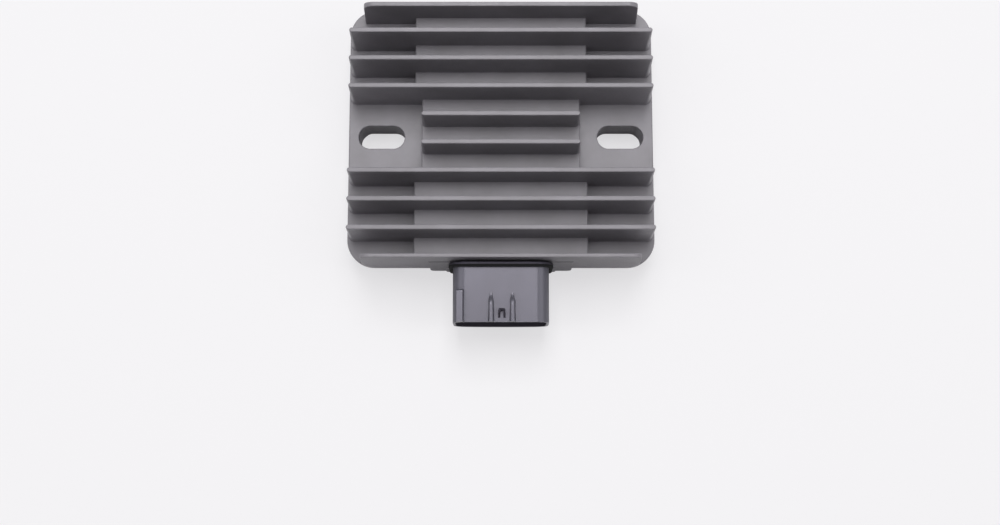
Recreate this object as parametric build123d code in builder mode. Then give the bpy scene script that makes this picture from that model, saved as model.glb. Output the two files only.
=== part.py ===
from build123d import *
import os
from math import atan, degrees, radians, tan

# Voltage regulator rectifier: a finned die-cast heat sink, hollow underneath and
# filled with potting compound over a three-phase bridge and its control board, with
# a six-way connector on the front wall.
#
# Millimetres. +Z is up, through the fins, and the connector faces -Y. The origin is
# on the base plane, midway between the two mounting slots.

os.makedirs("parts", exist_ok=True)

# Housing: walls and ledge
LEDGE_WIDTH = 102.0       # X, over the parting ledge
LEDGE_LENGTH = 88.0       # Y, over the parting ledge
LEDGE_CORNER_R = 9.0
LEDGE_OVERHANG = 1.7      # the ledge stands out this far from the sides and the back
LEDGE_BAND = 3.0          # height of its upright edge
LEDGE_TAPER = 2.3         # height of its sloping underside
LEDGE_EDGE = 0.4          # its broken upper edge
FRONT_SET_BACK = 0.3      # the lower front wall behind the ledge's front edge
FLOOR_Z = 12.5            # top of the ledge and of the floor between the fins
FOOT_R = 3.0              # rounding of the outer walls into the base
WALL = 4.2                # outer walls, at the base
ROOF = 3.5                # metal over both depths of the hollow

# Housing: fins
FIN_RISE = 18.5           # fin tips above the floor
END_DROP = 2.0            # the back fin and the front plate are this much lower
FIN_TIP = 1.5             # fin thickness at the tip
PLATE_TIP = 1.25          # front plate's thickness at its tip
DRAFT = 4.0               # degrees, on the fins' flanks
END_DRAFT = 2.6           # degrees, on the fins' ends
FIN_INSET = 1.5           # long fins' ends in from the ledge's sides, at the tip
END_INSET = 5.8           # the same for the back fin and the front plate
FRONT_FIN_Y = 10.63       # front edge of the ledge to the nearest long fin's middle
BACK_FIN_Y = 2.88         # back edge of the ledge to the back fin's middle
BACK_FIN_GAP = 9.36       # back fin's middle to the nearest long fin's
END_CORNER_R = 3.0        # upper corners of the back fin and the front plate
END_CHAMFER = 0.5         # broken upright edges at the ends of the fins
TIP_R = 0.3               # edges along the fins' tips
ROOT_R = 0.8              # fillets where the fins meet the floor

# Housing: mounting slots, raised floor, hollow and connector seat
SLOT_OFFSET = 0.655       # slots' centre line behind the middle of the fins
SLOT_TO_EDGE = 11.0       # slots' centres in from the ledge's sides
SLOT_LENGTH = 15.4
SLOT_WIDTH = 7.7
SLOT_WALL = 3.4
SLOT_TO_BLOCK = 5.9       # from a slot to the raised floor between the slots
PAD_RISE = 5.5            # raised floor above the floor
PAD_OVERHANG = 2.4        # how much wider it is, on each side, between the long fins
PAD_DRAFT = 2.0           # degrees
SHORT_INSET = 0.75        # short fins' ends in from the raised floor's sides
HOLLOW_CORNER_R = 5.0
DEEP_WALL = 3.4           # side of the raised floor to the deeper hollow under it
DEEP_END_GAP = 3.0        # from the hollow's back end to the deeper part's
DEEP_CORNER_R = 3.0
SEAT_MARGIN = 8.0         # the seat reaches this far to each side of the shell
SEAT_BELOW_TOP = 0.3      # its top below the top of the shell
SEAT_BOTTOM = 5.0         # lower edge of the seat's wide part
SEAT_FOOT = 1.6           # lower edge of its middle part, behind the gasket
SEAT_PROUD = 0.4
SEAT_CORNER_R = 1.5
WINDOW_INSET = 2.25       # sides of the window in from the shell's
WINDOW_BOTTOM = 5.0

# Connector
CONNECTOR_Z = 13.8        # middle of its upright sides
SHELL_WIDTH = 31.2
SHELL_HEIGHT = 21.0
SHELL_LENGTH = 17.85      # from the gasket to the mouth
SHELL_WALL = 0.85
SHELL_TOP_R = 4.2
SHELL_BOTTOM_R = 5.0
SHELL_BOW = 0.6           # how far the lower side curves down
MOUTH_EDGE = 0.3          # broken outer edge of the mouth
SOCKET_DEPTH = 14.0
SPIGOT_REACH = 1.4        # past the front wall into the hollow
GASKET_MARGIN = 1.4
GASKET_THICKNESS = 0.9
RIB_OFFSET = 0.65         # upright ribs out from the middle between two terminals
RIB_WIDTH = 1.5
RIB_HEIGHT = 11.75
RIB_RISE = 3.0            # from the socket's floor
RIB_TOE = 0.6             # how far the ribs' ends widen on their outer sides
RIB_TOE_HEIGHT = 1.9
WEB_WIDTH = 22.0          # level rib between the two rows
WEB_THICKNESS = 0.9
LATCH_X = 0.3             # middle of the latch, a little right of centre
LATCH_SPACING = 6.93
LATCH_RIB = 1.4
LATCH_RISE = 2.6
LATCH_LENGTH = 9.0
LATCH_RAMP = 1.6
CATCH_WIDTH = 2.3
CATCH_LENGTH = 2.9
CATCH_RISE = 1.9
CATCH_WALL = 0.65
CATCH_TO_MOUTH = 1.4
KEY_INSET = 2.55          # side of the shell to the keying rib's middle
KEY_WIDTH = 2.4
KEY_RISE = 2.7
KEY_LENGTH = 10.4
KEY_FOOT = 1.5            # its foot below the top of the shell

# Terminals
PIN_PITCH = 9.5
ROW_SPACING = 7.7
ROWS_BELOW = 1.3          # middle of the two rows below the middle of the shell
BLADE_WIDTH = 2.8
BLADE_THICKNESS = 0.8
TIP_TO_MOUTH = 5.0
POINT_LENGTH = 1.2
POINT_TAPER = 12.0        # degrees
BEND_R = 0.5              # inside radius of the terminals' bends
BEND_TO_GASKET = 2.0      # from the gasket forward to the upright stretch
LEG_OVERLAP = 3.0         # phase terminals' legs under the phase bars
BAR_START = 3.5           # from the hollow's front end to the bars

# Bridge and control board, from the roof of the hollow down
ADHESIVE = 0.2
SUBSTRATE_INSET = 1.5     # sides of the substrate in from the deeper hollow's
SUBSTRATE_TO_BACK = 15.3  # its back edge in from the deeper hollow's back end
SUBSTRATE_THICKNESS = 1.3
BAR_THICKNESS = 0.8
PHASE_BAR_WIDTH = 6.0
PACKAGE_WIDTH = 7.5
PACKAGE_LENGTH = 9.0
THYRISTORS_IN = 11.6      # their row in from the substrate's back edge
PACKAGE_ROWS = 20.0       # from the thyristors' row to the diodes'
RAIL_WIDTH = 6.0          # positive and negative bars, across the packages
BRIDGE_DROP = 1.6         # the positive bar's dip, where it passes the negative one
BRIDGE_END = 3.0          # level stretch at each end of the dip
BOARD_INSET = 3.0         # sides of the board in from the deeper hollow's
BOARD_MARGIN = 2.0        # from the gate pins to the board's back edge
BOARD_THICKNESS = 1.2
BOARD_TOP = 5.6
PIN_R = 0.4
IC_SIZE = (6.0, 5.0, 1.6)
CAPACITOR_SIZE = (7.3, 4.3, 2.4)
ZENER_SIZE = (4.6, 2.7, 1.7)
RESISTOR_SIZE = (3.2, 1.6, 0.6)
POTTING_RECESS = 1.0      # the compound stops this far above the base plane

# Worked out from the above
fin_pitch = (LEDGE_LENGTH - FRONT_FIN_Y - BACK_FIN_Y - BACK_FIN_GAP) / 7
front_y = -SLOT_OFFSET - FRONT_FIN_Y - 3.5 * fin_pitch
back_y = front_y + LEDGE_LENGTH
middle_y = (back_y + front_y) / 2
body_width = LEDGE_WIDTH - 2 * LEDGE_OVERHANG
body_back = back_y - LEDGE_OVERHANG
body_front = front_y + FRONT_SET_BACK
body_r = LEDGE_CORNER_R - LEDGE_OVERHANG
ledge_slope = degrees(atan(LEDGE_OVERHANG / LEDGE_TAPER))


def foot(tip, rise, angle=DRAFT):
    """Size at a fin's foot for a size at its tip."""
    return tip + 2 * rise * tan(radians(angle))


def beyond_ends(length, rise):
    """Corners of the two blocks that cut fins of this tip length to their sloping ends."""
    low = foot(length, rise, END_DRAFT) / 2
    high = low - (rise + 1) * tan(radians(END_DRAFT))
    far = low + 2
    top = FLOOR_Z + rise + 1
    return [
        [
            (side * low, FLOOR_Z), (side * high, top),
            (side * far, top), (side * far, FLOOR_Z),
        ]
        for side in (-1, 1)
    ]


end_rise = FIN_RISE - END_DROP
plate_foot = foot(PLATE_TIP, end_rise)
fin_y = [front_y + FRONT_FIN_Y + fin_pitch * i for i in range(8)]
long_fins = fin_y[:3] + fin_y[5:]
short_fins = fin_y[3:5]
back_fin = back_y - BACK_FIN_Y
tip_z = FLOOR_Z + FIN_RISE
pad_z = FLOOR_Z + PAD_RISE

slot_spacing = LEDGE_WIDTH - 2 * SLOT_TO_EDGE
slot_places = [(-slot_spacing / 2, 0), (slot_spacing / 2, 0)]
block_width = slot_spacing - SLOT_LENGTH - 2 * SLOT_TO_BLOCK
pad_width = block_width + 2 * PAD_OVERHANG
fin_length = LEDGE_WIDTH - 2 * FIN_INSET
end_length = LEDGE_WIDTH - 2 * END_INSET
short_length = block_width - 2 * SHORT_INSET

hollow_width = body_width - 2 * WALL
hollow_front = body_front + WALL
hollow_back = body_back - WALL
hollow_middle = (hollow_front + hollow_back) / 2
hollow_length = hollow_back - hollow_front
shallow_z = FLOOR_Z - ROOF
deep_z = pad_z - ROOF
deep_width = block_width - 2 * DEEP_WALL
deep_length = hollow_length - DEEP_END_GAP
deep_middle = hollow_front + deep_length / 2
window_height = deep_z - WINDOW_BOTTOM
window_width = SHELL_WIDTH - 2 * WINDOW_INSET

seat_y = front_y - SEAT_PROUD
shell_back = seat_y - GASKET_THICKNESS
mouth_y = shell_back - SHELL_LENGTH
socket_floor = mouth_y + SOCKET_DEPTH
shell_top = CONNECTOR_Z + SHELL_HEIGHT / 2
shell_low = CONNECTOR_Z - SHELL_HEIGHT / 2 + SHELL_BOW
seat_top = shell_top - SEAT_BELOW_TOP

rows_z = CONNECTOR_Z - ROWS_BELOW
upper_z = rows_z + ROW_SPACING / 2
lower_z = rows_z - ROW_SPACING / 2
half_blade = BLADE_THICKNESS / 2
bend_line = BEND_R + half_blade
point_y = mouth_y + TIP_TO_MOUTH
blade_y = point_y + POINT_LENGTH
bend_y = shell_back - BEND_TO_GASKET
bars_y = hollow_front + BAR_START
pin_x = [-PIN_PITCH, 0.0, PIN_PITCH]
rib_x = PIN_PITCH / 2 + RIB_OFFSET

substrate_top = deep_z - ADHESIVE
substrate_low = substrate_top - SUBSTRATE_THICKNESS
substrate_back = deep_middle + deep_length / 2 - SUBSTRATE_TO_BACK
substrate_width = deep_width - 2 * SUBSTRATE_INSET
substrate_length = substrate_back - bars_y
phase_low = substrate_low - BAR_THICKNESS
rail_top = lower_z + half_blade
rail_low = rail_top - BAR_THICKNESS
package_height = phase_low - rail_top
thyristor_y = substrate_back - THYRISTORS_IN
diode_y = thyristor_y - PACKAGE_ROWS
board_low = BOARD_TOP - BOARD_THICKNESS
pin_y = thyristor_y + RAIL_WIDTH / 2 + (PACKAGE_LENGTH - RAIL_WIDTH) / 4
board_width = deep_width - 2 * BOARD_INSET
board_length = pin_y + BOARD_MARGIN - bars_y

# Housing: one casting
with BuildPart() as heatsink_housing:
    # lower walls, rounded into the base
    with BuildSketch(Plane.XY):
        with Locations((0, (body_front + body_back) / 2)):
            RectangleRounded(body_width, body_back - body_front, body_r)
    extrude(amount=FLOOR_Z)
    fillet(heatsink_housing.edges().group_by(Axis.Z)[0], FOOT_R)
    # parting ledge with its sloping underside and broken upper edge
    with BuildSketch(Plane.XY.offset(FLOOR_Z - LEDGE_BAND)) as ledge_plan:
        with Locations((0, middle_y)):
            RectangleRounded(LEDGE_WIDTH, LEDGE_LENGTH, LEDGE_CORNER_R)
    extrude(amount=LEDGE_BAND)
    extrude(ledge_plan.sketch, amount=-LEDGE_TAPER, taper=ledge_slope)
    chamfer(heatsink_housing.faces().sort_by(Axis.Z)[-1].edges(), LEDGE_EDGE)
    # back fin and front plate, their upper corners rounded; the plate's face runs
    # down into the ledge's
    with BuildSketch(Plane.YZ):
        with Locations((back_fin, FLOOR_Z + end_rise / 2)):
            Trapezoid(foot(FIN_TIP, end_rise), end_rise, 90 - DRAFT)
        with Locations((front_y + plate_foot / 2, FLOOR_Z + end_rise / 2)):
            Trapezoid(plate_foot, end_rise, 90 - DRAFT)
    extrude(amount=end_length / 2 + 1.5, both=True)
    with BuildSketch(Plane.XZ.offset(-middle_y)):
        for wedge in beyond_ends(end_length, end_rise):
            Polygon(*wedge, align=None)
    extrude(amount=LEDGE_LENGTH / 2, both=True, mode=Mode.SUBTRACT)
    with BuildSketch(Plane.XY.offset(FLOOR_Z)):
        with Locations((0, back_fin)):
            Rectangle(foot(end_length, end_rise, END_DRAFT), foot(FIN_TIP, end_rise))
        with Locations((0, front_y + plate_foot / 2)):
            Rectangle(foot(end_length, end_rise, END_DRAFT), plate_foot)
    extrude(amount=-LEDGE_BAND / 2)
    fillet(
        heatsink_housing.edges().filter_by(Axis.Y).group_by(Axis.Z)[-1], END_CORNER_R
    )
    # long fins
    with BuildSketch(Plane.YZ):
        with Locations(*[(y, FLOOR_Z + FIN_RISE / 2) for y in long_fins]):
            Trapezoid(foot(FIN_TIP, FIN_RISE), FIN_RISE, 90 - DRAFT)
    extrude(amount=fin_length / 2 + 1.5, both=True)
    with BuildSketch(Plane.XZ.offset(-middle_y)):
        for wedge in beyond_ends(fin_length, FIN_RISE):
            Polygon(*wedge, align=None)
    extrude(amount=LEDGE_LENGTH / 2, both=True, mode=Mode.SUBTRACT)
    # the two short ones between the mounting slots
    with BuildSketch(Plane.YZ):
        with Locations(*[(y, FLOOR_Z + FIN_RISE / 2) for y in short_fins]):
            Trapezoid(foot(FIN_TIP, FIN_RISE), FIN_RISE, 90 - DRAFT)
    extrude(amount=short_length / 2 + 1.5, both=True)
    with BuildSketch(Plane.XZ.offset(-sum(short_fins) / 2)):
        for wedge in beyond_ends(short_length, FIN_RISE):
            Polygon(*wedge, align=None)
    extrude(amount=fin_pitch, both=True, mode=Mode.SUBTRACT)
    fin_middle = FLOOR_Z + FIN_RISE / 2
    chamfer(
        heatsink_housing.edges()
        .filter_by_position(Axis.Z, fin_middle - 0.1, fin_middle + 0.1),
        END_CHAMFER,
    )
    # each fin's root and tip are rounded
    for y in fin_y:
        beside = (y - fin_pitch / 2, y + fin_pitch / 2)
        fillet(
            heatsink_housing.edges().filter_by(Axis.X)
            .filter_by_position(Axis.Y, *beside)
            .filter_by_position(Axis.Z, FLOOR_Z - 0.01, FLOOR_Z + 0.01),
            ROOT_R,
        )
        fillet(
            heatsink_housing.edges().filter_by(Axis.X)
            .filter_by_position(Axis.Y, *beside)
            .filter_by_position(Axis.Z, tip_z - 0.01, tip_z + 0.01),
            TIP_R,
        )
    # raised floor over the deeper hollow, with the same fillets along the fins
    with BuildSketch(Plane.XY.offset(FLOOR_Z)):
        with Locations((0, (back_fin + fin_y[5]) / 2)):
            Rectangle(pad_width, back_fin - fin_y[5])
        with Locations((0, (front_y + 1.0 + fin_y[2]) / 2)):
            Rectangle(pad_width, fin_y[2] - front_y - 1.0)
        with Locations((0, (fin_y[5] + fin_y[2]) / 2)):
            Rectangle(block_width, fin_y[5] - fin_y[2])
    extrude(amount=PAD_RISE, taper=PAD_DRAFT)
    for y in long_fins:
        for side in (-1, 1):
            flank = y + side * foot(FIN_TIP, FIN_RISE - PAD_RISE) / 2
            fillet(
                heatsink_housing.edges().filter_by(Axis.X)
                .filter_by_position(Axis.Z, pad_z - 0.01, pad_z + 0.01)
                .filter_by_position(Axis.Y, flank - 0.05, flank + 0.05),
                ROOT_R,
            )
    # seat for the connector, a little proud of the front wall
    with BuildSketch(Plane.XZ.offset(-front_y - 1.0)):
        with Locations((0, (seat_top + SEAT_BOTTOM) / 2)):
            RectangleRounded(
                SHELL_WIDTH + 2 * SEAT_MARGIN, seat_top - SEAT_BOTTOM, SEAT_CORNER_R
            )
        with Locations((0, CONNECTOR_Z - (CONNECTOR_Z - SEAT_FOOT) / 2)):
            Rectangle(SHELL_WIDTH + 4 * GASKET_MARGIN, CONNECTOR_Z - SEAT_FOOT)
    extrude(amount=SEAT_PROUD + 1.0)
    # mounting slots, right through
    with BuildSketch(Plane.XY):
        with Locations(*slot_places):
            SlotOverall(SLOT_LENGTH, SLOT_WIDTH)
    extrude(amount=FLOOR_Z, mode=Mode.SUBTRACT)
    # hollow underneath, round the slots' bosses, and deeper under the raised floor
    with BuildSketch(Plane.XY) as hollow_plan:
        with Locations((0, hollow_middle)):
            RectangleRounded(hollow_width, hollow_length, HOLLOW_CORNER_R)
        with Locations(*slot_places):
            SlotOverall(
                SLOT_LENGTH + 2 * SLOT_WALL, SLOT_WIDTH + 2 * SLOT_WALL,
                mode=Mode.SUBTRACT,
            )
        with Locations((-body_width / 2, 0), (body_width / 2, 0)):
            Rectangle(
                body_width - slot_spacing, SLOT_WIDTH + 2 * SLOT_WALL,
                mode=Mode.SUBTRACT,
            )
    extrude(amount=shallow_z, mode=Mode.SUBTRACT)
    with BuildSketch(Plane.XY) as deep_plan:
        with Locations((0, deep_middle)):
            RectangleRounded(deep_width, deep_length, DEEP_CORNER_R)
    extrude(amount=deep_z, mode=Mode.SUBTRACT)
    # window for the connector's spigot
    with BuildSketch(Plane.XZ.offset(-hollow_front - DEEP_CORNER_R)):
        with Locations((0, WINDOW_BOTTOM + window_height / 2)):
            Rectangle(window_width, window_height)
    extrude(amount=hollow_front + DEEP_CORNER_R - seat_y, mode=Mode.SUBTRACT)
heatsink_housing.part.label = "heatsink_housing"
export_step(heatsink_housing.part, "parts/heatsink_housing.step")

# Terminals: three phase blades in the upper row, stepped down inside the shell
terminals = []
for number, x in enumerate(pin_x, start=1):
    with BuildPart() as phase_terminal:
        with BuildSketch(Plane.YZ.offset(x)):
            with BuildLine():
                FilletPolyline(
                    (blade_y, upper_z),
                    (bend_y, upper_z),
                    (bend_y, phase_low - half_blade),
                    (bars_y + LEG_OVERLAP, phase_low - half_blade),
                    radius=bend_line,
                )
            trace(line_width=BLADE_THICKNESS)
        extrude(amount=BLADE_WIDTH / 2, both=True)
        with BuildSketch(Plane.XZ.offset(-blade_y)):
            with Locations((x, upper_z)):
                Rectangle(BLADE_WIDTH, BLADE_THICKNESS)
        extrude(amount=POINT_LENGTH, taper=POINT_TAPER)
    phase_terminal.part.label = f"terminal_phase_{number}"
    export_step(phase_terminal.part, f"parts/terminal_phase_{number}.step")
    terminals.append(phase_terminal.part)

# Terminals: positive, sense and negative in the lower row
for name, x in (("positive", pin_x[0]), ("negative", pin_x[2])):
    with BuildPart() as rail_terminal:
        with BuildSketch(Plane.XZ.offset(-bars_y)):
            with Locations((x, lower_z)):
                Rectangle(BLADE_WIDTH, BLADE_THICKNESS)
        extrude(amount=bars_y - blade_y)
        with BuildSketch(Plane.XZ.offset(-blade_y)):
            with Locations((x, lower_z)):
                Rectangle(BLADE_WIDTH, BLADE_THICKNESS)
        extrude(amount=POINT_LENGTH, taper=POINT_TAPER)
    rail_terminal.part.label = f"terminal_{name}"
    export_step(rail_terminal.part, f"parts/terminal_{name}.step")
    terminals.append(rail_terminal.part)

with BuildPart() as terminal_sense:
    # straight back through the shell, then down to the control board's front edge
    with BuildSketch(Plane.YZ):
        with BuildLine():
            FilletPolyline(
                (blade_y, lower_z),
                (bars_y - half_blade, lower_z),
                (bars_y - half_blade, board_low),
                radius=bend_line,
            )
        trace(line_width=BLADE_THICKNESS)
    extrude(amount=BLADE_WIDTH / 2, both=True)
    with BuildSketch(Plane.XZ.offset(-blade_y)):
        with Locations((0, lower_z)):
            Rectangle(BLADE_WIDTH, BLADE_THICKNESS)
    extrude(amount=POINT_LENGTH, taper=POINT_TAPER)
terminal_sense.part.label = "terminal_sense"
export_step(terminal_sense.part, "parts/terminal_sense.step")
terminals.append(terminal_sense.part)

# Connector gasket, between the seat and the shell
with BuildPart() as connector_gasket:
    with BuildSketch(Plane.XZ.offset(-seat_y)):
        with Locations((0, CONNECTOR_Z)):
            RectangleRounded(
                SHELL_WIDTH + 2 * GASKET_MARGIN, SHELL_HEIGHT + 2 * GASKET_MARGIN,
                SHELL_TOP_R + GASKET_MARGIN,
            )
        with Locations((0, WINDOW_BOTTOM + window_height / 2)):
            Rectangle(window_width, window_height, mode=Mode.SUBTRACT)
    extrude(amount=GASKET_THICKNESS)
connector_gasket.part.label = "connector_gasket"
export_step(connector_gasket.part, "parts/connector_gasket.step")

# Connector shell: one moulding round the six blades
with BuildPart() as connector_shell:
    # outside, with a slightly bowed lower side
    with BuildSketch(Plane.XZ.offset(-shell_back)) as shell_outline:
        with BuildLine():
            Polyline(
                (-SHELL_WIDTH / 2, shell_low),
                (-SHELL_WIDTH / 2, shell_top),
                (SHELL_WIDTH / 2, shell_top),
                (SHELL_WIDTH / 2, shell_low),
            )
            ThreePointArc(
                (-SHELL_WIDTH / 2, shell_low),
                (0, shell_low - SHELL_BOW),
                (SHELL_WIDTH / 2, shell_low),
            )
        make_face()
        fillet(shell_outline.vertices().group_by(Axis.Y)[-1], SHELL_TOP_R)
        fillet(shell_outline.vertices().group_by(Axis.Y)[0], SHELL_BOTTOM_R)
    extrude(amount=SHELL_LENGTH)
    chamfer(connector_shell.faces().sort_by(Axis.Y)[0].edges(), MOUTH_EDGE)
    # socket
    with BuildSketch(Plane.XZ.offset(-socket_floor)) as socket_outline:
        add(shell_outline.sketch_local)
        offset(amount=-SHELL_WALL, mode=Mode.REPLACE)
    extrude(amount=SOCKET_DEPTH, mode=Mode.SUBTRACT)
    # ribs between the terminals, the upright ones wider at their ends
    with BuildSketch(Plane.XZ.offset(-socket_floor)):
        with Locations((-rib_x, rows_z), (rib_x, rows_z)):
            Rectangle(RIB_WIDTH, RIB_HEIGHT)
        toe_x = rib_x + (RIB_WIDTH + RIB_TOE) / 2
        toe_z = (RIB_HEIGHT - RIB_TOE_HEIGHT) / 2
        with Locations(
            (-toe_x, rows_z - toe_z), (-toe_x, rows_z + toe_z),
            (toe_x, rows_z - toe_z), (toe_x, rows_z + toe_z),
        ):
            Rectangle(RIB_TOE, RIB_TOE_HEIGHT)
        with Locations((0, rows_z)):
            Rectangle(WEB_WIDTH, WEB_THICKNESS)
    extrude(amount=RIB_RISE)
    # spigot through the gasket and the front wall
    with BuildSketch(Plane.XZ.offset(-shell_back)):
        with Locations((0, WINDOW_BOTTOM + window_height / 2)):
            Rectangle(window_width, window_height)
    extrude(amount=-(hollow_front + SPIGOT_REACH - shell_back))
    # two latch ribs with ramps at their inner ends
    for latch_x in (LATCH_X - LATCH_SPACING / 2, LATCH_X + LATCH_SPACING / 2):
        with BuildSketch(Plane.YZ.offset(latch_x)):
            with BuildLine():
                Polyline(
                    (mouth_y, shell_top - SHELL_WALL / 2),
                    (mouth_y, shell_top + LATCH_RISE),
                    (mouth_y + LATCH_LENGTH - LATCH_RAMP, shell_top + LATCH_RISE),
                    (mouth_y + LATCH_LENGTH, shell_top),
                    (mouth_y + LATCH_LENGTH, shell_top - SHELL_WALL / 2),
                    close=True,
                )
            make_face()
        extrude(amount=LATCH_RIB / 2, both=True)
    # catch between them, a small arch in plan
    with BuildSketch(Plane.XY.offset(shell_top - SHELL_WALL / 2)):
        with Locations((LATCH_X, mouth_y + CATCH_TO_MOUTH + CATCH_LENGTH / 2)):
            Rectangle(CATCH_WIDTH, CATCH_LENGTH)
        with Locations(
            (LATCH_X, mouth_y + CATCH_TO_MOUTH + (CATCH_LENGTH - CATCH_WALL) / 2)
        ):
            Rectangle(
                CATCH_WIDTH - 2 * CATCH_WALL, CATCH_LENGTH - CATCH_WALL,
                mode=Mode.SUBTRACT,
            )
    extrude(amount=CATCH_RISE + SHELL_WALL / 2)
    # keying rib at the upper left corner, its foot sunk into the rounded corner
    with BuildSketch(Plane.XZ.offset(-mouth_y)):
        with Locations((KEY_INSET - SHELL_WIDTH / 2, shell_top + KEY_RISE)):
            Rectangle(
                KEY_WIDTH, KEY_RISE + KEY_FOOT, align=(Align.CENTER, Align.MAX)
            )
    extrude(amount=-KEY_LENGTH)
    # the blades' places in the moulding
    for blade in terminals:
        add(blade, mode=Mode.SUBTRACT)
connector_shell.part.label = "connector_shell"
export_step(connector_shell.part, "parts/connector_shell.step")

# Substrate, bonded to the roof of the hollow
substrate_y = bars_y + substrate_length / 2
inner = list(terminals)
with BuildPart() as thermal_adhesive:
    with BuildSketch(Plane.XY.offset(substrate_top)):
        with Locations((0, substrate_y)):
            Rectangle(substrate_width, substrate_length)
    extrude(amount=ADHESIVE)
thermal_adhesive.part.label = "thermal_adhesive"
export_step(thermal_adhesive.part, "parts/thermal_adhesive.step")
inner.append(thermal_adhesive.part)

with BuildPart() as power_substrate:
    with BuildSketch(Plane.XY.offset(substrate_low)):
        with Locations((0, substrate_y)):
            Rectangle(substrate_width, substrate_length)
    extrude(amount=SUBSTRATE_THICKNESS)
power_substrate.part.label = "power_substrate"
export_step(power_substrate.part, "parts/power_substrate.step")
inner.append(power_substrate.part)

# One phase bar, diode, thyristor and gate pin for each phase
for number, x in enumerate(pin_x, start=1):
    with BuildPart() as phase_bar:
        with BuildSketch(Plane.XY.offset(phase_low)):
            with Locations((x, (bars_y + thyristor_y + PACKAGE_LENGTH / 2) / 2)):
                Rectangle(PHASE_BAR_WIDTH, thyristor_y + PACKAGE_LENGTH / 2 - bars_y)
        extrude(amount=BAR_THICKNESS)
    phase_bar.part.label = f"phase_bar_{number}"
    export_step(phase_bar.part, f"parts/phase_bar_{number}.step")
    inner.append(phase_bar.part)

    with BuildPart() as diode:
        with BuildSketch(Plane.XY.offset(rail_top)):
            with Locations((x, diode_y)):
                Rectangle(PACKAGE_WIDTH, PACKAGE_LENGTH)
        extrude(amount=package_height)
    diode.part.label = f"diode_{number}"
    export_step(diode.part, f"parts/diode_{number}.step")
    inner.append(diode.part)

    with BuildPart() as thyristor:
        with BuildSketch(Plane.XY.offset(rail_top)):
            with Locations((x, thyristor_y)):
                Rectangle(PACKAGE_WIDTH, PACKAGE_LENGTH)
        extrude(amount=package_height)
    thyristor.part.label = f"thyristor_{number}"
    export_step(thyristor.part, f"parts/thyristor_{number}.step")
    inner.append(thyristor.part)

    with BuildPart() as gate_pin:
        with BuildSketch(Plane.XY.offset(BOARD_TOP)):
            with Locations((x, pin_y)):
                Circle(PIN_R)
        extrude(amount=rail_top - BOARD_TOP)
    gate_pin.part.label = f"gate_pin_{number}"
    export_step(gate_pin.part, f"parts/gate_pin_{number}.step")
    inner.append(gate_pin.part)

# Rails: the negative bar under the diodes, the positive bar under the thyristors
rail_reach = PIN_PITCH + PACKAGE_WIDTH / 2
rail_edge = thyristor_y - RAIL_WIDTH / 2
with BuildPart() as negative_busbar:
    with BuildSketch(Plane.XY.offset(rail_low)):
        with Locations((0, diode_y)):
            Rectangle(2 * rail_reach, RAIL_WIDTH)
        with Locations((PIN_PITCH, (bars_y + diode_y) / 2)):
            Rectangle(BLADE_WIDTH, diode_y - bars_y)
    extrude(amount=BAR_THICKNESS)
negative_busbar.part.label = "negative_busbar"
export_step(negative_busbar.part, "parts/negative_busbar.step")
inner.append(negative_busbar.part)

with BuildPart() as positive_busbar:
    with BuildSketch(Plane.XY.offset(rail_low)):
        with Locations((0, thyristor_y)):
            Rectangle(2 * rail_reach, RAIL_WIDTH)
    extrude(amount=BAR_THICKNESS)
    # strip to the positive terminal, dipping under the negative bar
    with BuildSketch(Plane.YZ.offset(-PIN_PITCH)):
        with BuildLine():
            FilletPolyline(
                (bars_y, lower_z),
                (bars_y + BRIDGE_END, lower_z),
                (bars_y + BRIDGE_END + BRIDGE_DROP, lower_z - BRIDGE_DROP),
                (rail_edge - BRIDGE_END - BRIDGE_DROP, lower_z - BRIDGE_DROP),
                (rail_edge - BRIDGE_END, lower_z),
                (rail_edge, lower_z),
                radius=bend_line,
            )
        trace(line_width=BAR_THICKNESS)
    extrude(amount=BLADE_WIDTH / 2, both=True)
positive_busbar.part.label = "positive_busbar"
export_step(positive_busbar.part, "parts/positive_busbar.step")
inner.append(positive_busbar.part)

# Control board and what is on it
board_y = bars_y + board_length / 2
with BuildPart() as control_board:
    with BuildSketch(Plane.XY.offset(board_low)):
        with Locations((0, board_y)):
            Rectangle(board_width, board_length)
    extrude(amount=BOARD_THICKNESS)
control_board.part.label = "control_board"
export_step(control_board.part, "parts/control_board.step")
inner.append(control_board.part)

with BuildPart() as control_ic:
    with BuildSketch(Plane.XY.offset(board_low)):
        with Locations((0, board_y)):
            Rectangle(IC_SIZE[0], IC_SIZE[1])
    extrude(amount=-IC_SIZE[2])
control_ic.part.label = "control_ic"
export_step(control_ic.part, "parts/control_ic.step")
inner.append(control_ic.part)

with BuildPart() as zener_diode:
    with BuildSketch(Plane.XY.offset(board_low)):
        with Locations((-board_width / 4, board_y - board_length / 5)):
            Rectangle(ZENER_SIZE[0], ZENER_SIZE[1])
    extrude(amount=-ZENER_SIZE[2])
zener_diode.part.label = "zener_diode"
export_step(zener_diode.part, "parts/zener_diode.step")
inner.append(zener_diode.part)

with BuildPart() as filter_capacitor:
    with BuildSketch(Plane.XY.offset(board_low)):
        with Locations((board_width / 4, board_y - board_length / 5)):
            Rectangle(CAPACITOR_SIZE[0], CAPACITOR_SIZE[1])
    extrude(amount=-CAPACITOR_SIZE[2])
filter_capacitor.part.label = "filter_capacitor"
export_step(filter_capacitor.part, "parts/filter_capacitor.step")
inner.append(filter_capacitor.part)

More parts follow.
